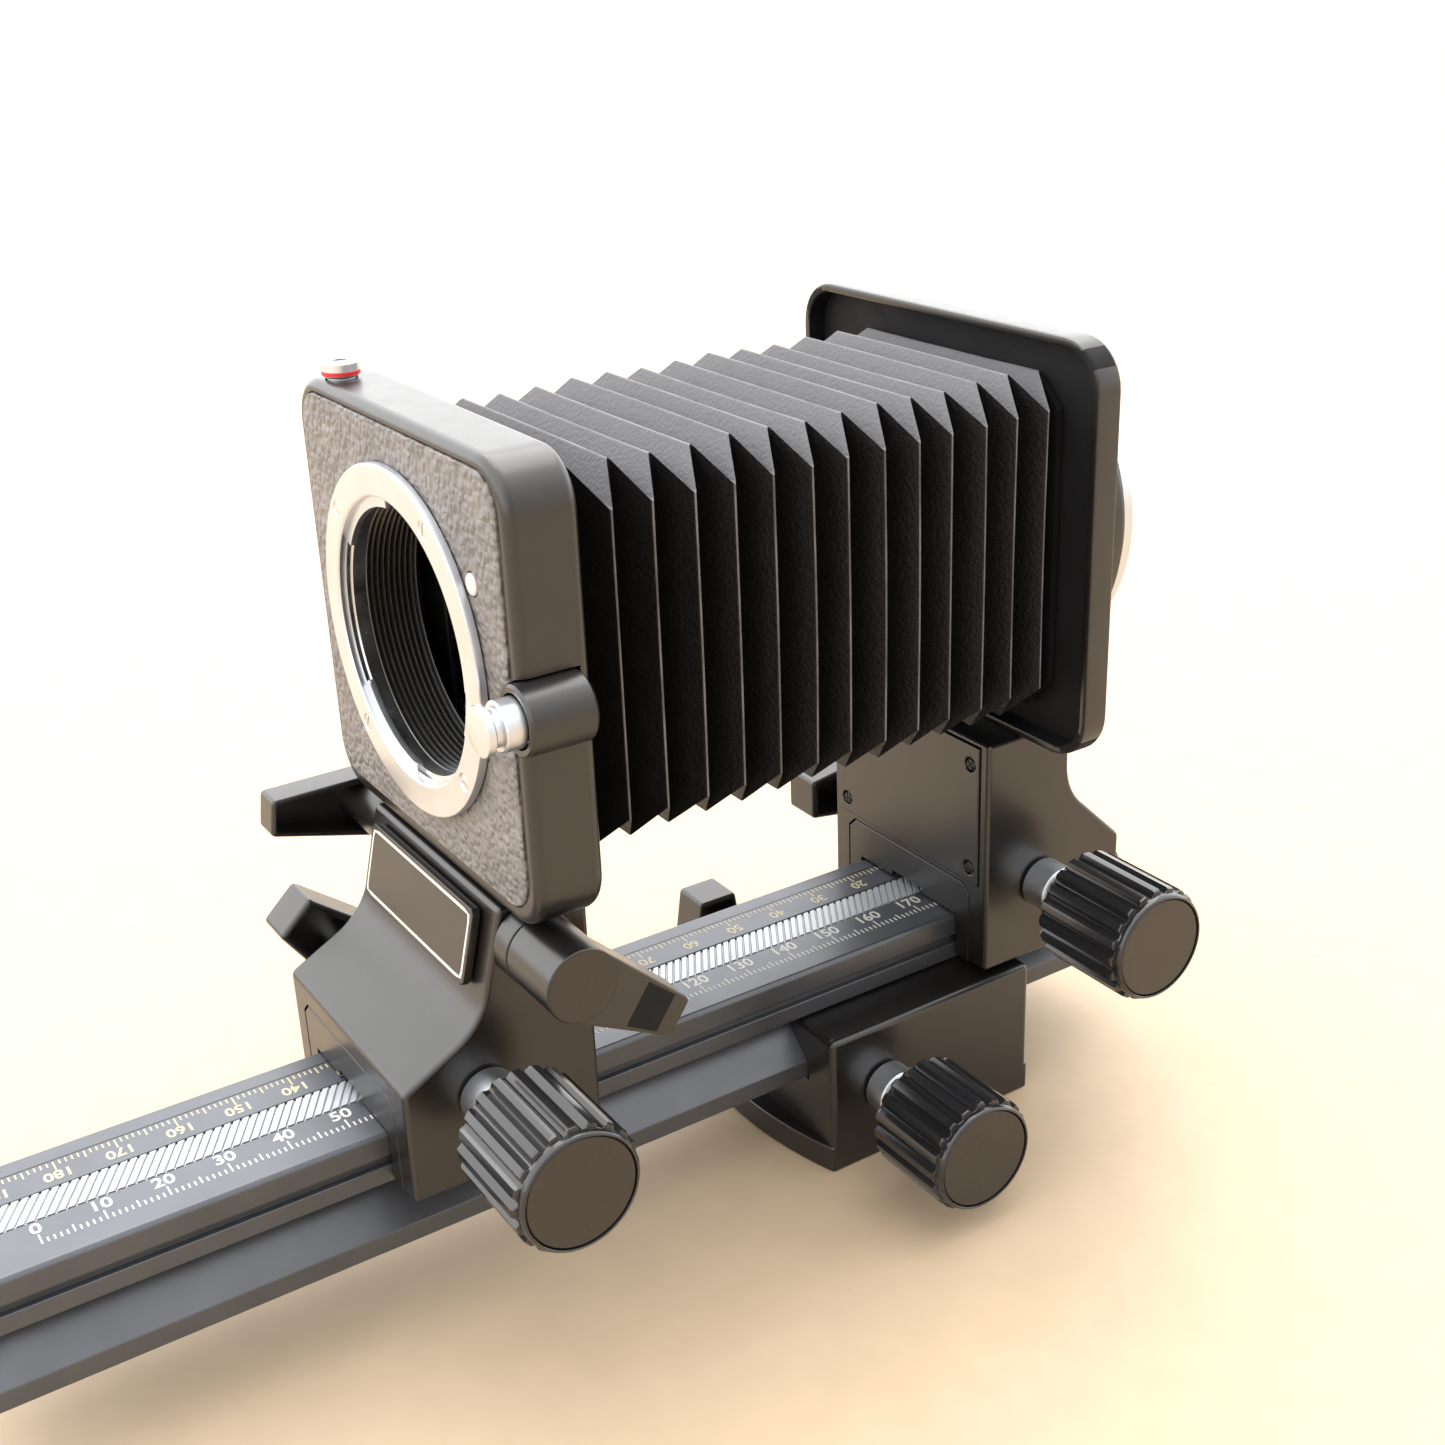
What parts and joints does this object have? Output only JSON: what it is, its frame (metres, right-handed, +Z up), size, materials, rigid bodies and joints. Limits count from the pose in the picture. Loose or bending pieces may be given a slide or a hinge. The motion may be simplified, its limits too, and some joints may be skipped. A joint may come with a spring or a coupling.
{
  "type": "macro bellows focusing attachment",
  "caption": "Pleated macro bellows between a lens standard and a camera standard that slide by rack and pinion on a scaled dovetail rail in a tripod block.",
  "frame": {"origin": "centre of the tripod plate's underside, where a tripod or a table meets the part", "axes": "+Z up, +Y along the rail towards the camera, +X towards the drive knobs"},
  "size_m": [0.099, 0.232, 0.1558],
  "materials": {
    "black_paint": "satin",
    "black_anodised": "satin",
    "knob_plastic": "gloss",
    "cap_plastic": "matte",
    "leatherette": "matte",
    "bellows_leather": "matte",
    "chrome": "polished",
    "steel": "satin",
    "brass": "satin",
    "white_paint": "satin",
    "red_paint": "satin"
  },
  "bodies": {
    "block": {"tripod_block": "black_paint", "tripod_plate": "steel", "tripod_bush_large": "brass", "tripod_bush_small": "brass", "block_bearing_collar": "chrome", "block_brake_disc": "brass"},
    "block_drive": {"block_shaft": "steel", "block_pinion": "brass", "block_knob": "knob_plastic", "block_knob_cap": "cap_plastic"},
    "block_lock": {"block_lock_lever": "black_paint"},
    "rail": {"rail": "black_anodised", "top_rack": "steel", "bottom_rack": "steel", "rail_front_stop": "steel", "rail_rear_stop": "steel", "bellows_front_half": "bellows_leather", "bellows_rear_half": "bellows_leather"},
    "lens_standard": {"front_carriage": "black_paint", "front_gib_plate": "black_paint", "nameplate": "black_paint", "front_bearing_collar": "chrome", "front_brake_disc": "brass", "lens_frame": "black_paint", "lens_panel_leather": "leatherette", "lens_index_dot": "white_paint", "lens_mount_ring": "chrome", "lens_throat_tube": "black_paint", "release_boss": "black_paint", "release_spring": "steel", "cable_socket": "chrome", "panel_lock_boss": "black_paint", "bellows_front_plate": "black_paint"},
    "front_drive": {"front_shaft": "steel", "front_pinion": "brass", "front_knob": "knob_plastic", "front_knob_cap": "cap_plastic"},
    "front_lock": {"front_lock_lever": "black_paint"},
    "panel_lock": {"panel_lock_lever": "black_paint"},
    "stop_down": {"stop_down_lever": "black_paint"},
    "lens_release": {"lens_release_button": "chrome"},
    "camera_standard": {"rear_carriage": "black_paint", "rear_gib_plate": "black_paint", "rear_cover_plate": "black_paint", "cover_plate_screw_1": "steel", "cover_plate_screw_2": "steel", "cover_plate_screw_3": "steel", "cover_plate_screw_4": "steel", "rear_bearing_collar": "chrome", "rear_brake_disc": "brass", "camera_frame": "black_paint", "bellows_rear_plate": "black_paint"},
    "rear_drive": {"rear_shaft": "steel", "rear_pinion": "brass", "rear_knob": "knob_plastic", "rear_knob_cap": "cap_plastic"},
    "rear_lock": {"rear_lock_lever": "black_paint"},
    "camera_mount": {"camera_mount_barrel": "black_paint", "camera_bayonet_ring": "chrome", "camera_index_dot": "red_paint"}
  },
  "joints": [
    {"name": "rail_slide", "type": "slide", "parent": "block", "child": "rail", "axis": [0, 1, 0], "range_m": [-0.028, 0.145]},
    {"name": "block_knob_turn", "type": "hinge", "parent": "block", "child": "block_drive", "pos_m": [0, -0.0118, 0.0154], "axis": [1, 0, 0], "range_deg": [-1760, 345]},
    {"name": "block_lock_turn", "type": "hinge", "parent": "block", "child": "block_lock", "pos_m": [0, -0.0118, 0.0154], "axis": [1, 0, 0], "range_deg": [0, 60]},
    {"name": "lens_slide", "type": "slide", "parent": "rail", "child": "lens_standard", "axis": [0, 1, 0], "range_m": [-0.0645, 0.042], "deforming": ["bellows_front_half"]},
    {"name": "front_knob_turn", "type": "hinge", "parent": "lens_standard", "child": "front_drive", "pos_m": [0, -0.0925, 0.0458], "axis": [1, 0, 0], "range_deg": [-380, 580]},
    {"name": "front_lock_turn", "type": "hinge", "parent": "lens_standard", "child": "front_lock", "pos_m": [0, -0.0925, 0.0458], "axis": [1, 0, 0], "range_deg": [0, 60]},
    {"name": "panel_lock_turn", "type": "hinge", "parent": "lens_standard", "child": "panel_lock", "pos_m": [0, -0.0827, 0.0711], "axis": [1, 0, 0], "range_deg": [-30, 10]},
    {"name": "stop_down_turn", "type": "hinge", "parent": "lens_standard", "child": "stop_down", "pos_m": [0, -0.0827, 0.0711], "axis": [1, 0, 0], "range_deg": [0, 22], "stiffness_Nm_per_rad": 0.05, "springref_deg": -6.88},
    {"name": "lens_release_push", "type": "slide", "parent": "lens_standard", "child": "lens_release", "axis": [0, 1, 0], "range_m": [0, 0.002], "stiffness_N_per_m": 500, "springref_m": -0.002, "deforming": ["release_spring"]},
    {"name": "camera_slide", "type": "slide", "parent": "rail", "child": "camera_standard", "axis": [0, 1, 0], "range_m": [-0.04, 0.0058], "deforming": ["bellows_rear_half"]},
    {"name": "rear_knob_turn", "type": "hinge", "parent": "camera_standard", "child": "rear_drive", "pos_m": [0, 0.0268, 0.0458], "axis": [1, 0, 0], "range_deg": [-60, 360]},
    {"name": "rear_lock_turn", "type": "hinge", "parent": "camera_standard", "child": "rear_lock", "pos_m": [0, 0.0268, 0.0458], "axis": [1, 0, 0], "range_deg": [-50, 0]},
    {"name": "camera_mount_turn", "type": "hinge", "parent": "camera_standard", "child": "camera_mount", "pos_m": [0, 0.031, 0.1159], "axis": [0, 1, 0], "continuous": true}
  ],
  "couplings": [
    {"joint": "block_knob_turn", "follows": "rail_slide", "rad_per_m": -210.53},
    {"joint": "front_knob_turn", "follows": "lens_slide", "rad_per_m": -153.85},
    {"joint": "rear_knob_turn", "follows": "camera_slide", "rad_per_m": -153.85}
  ]
}
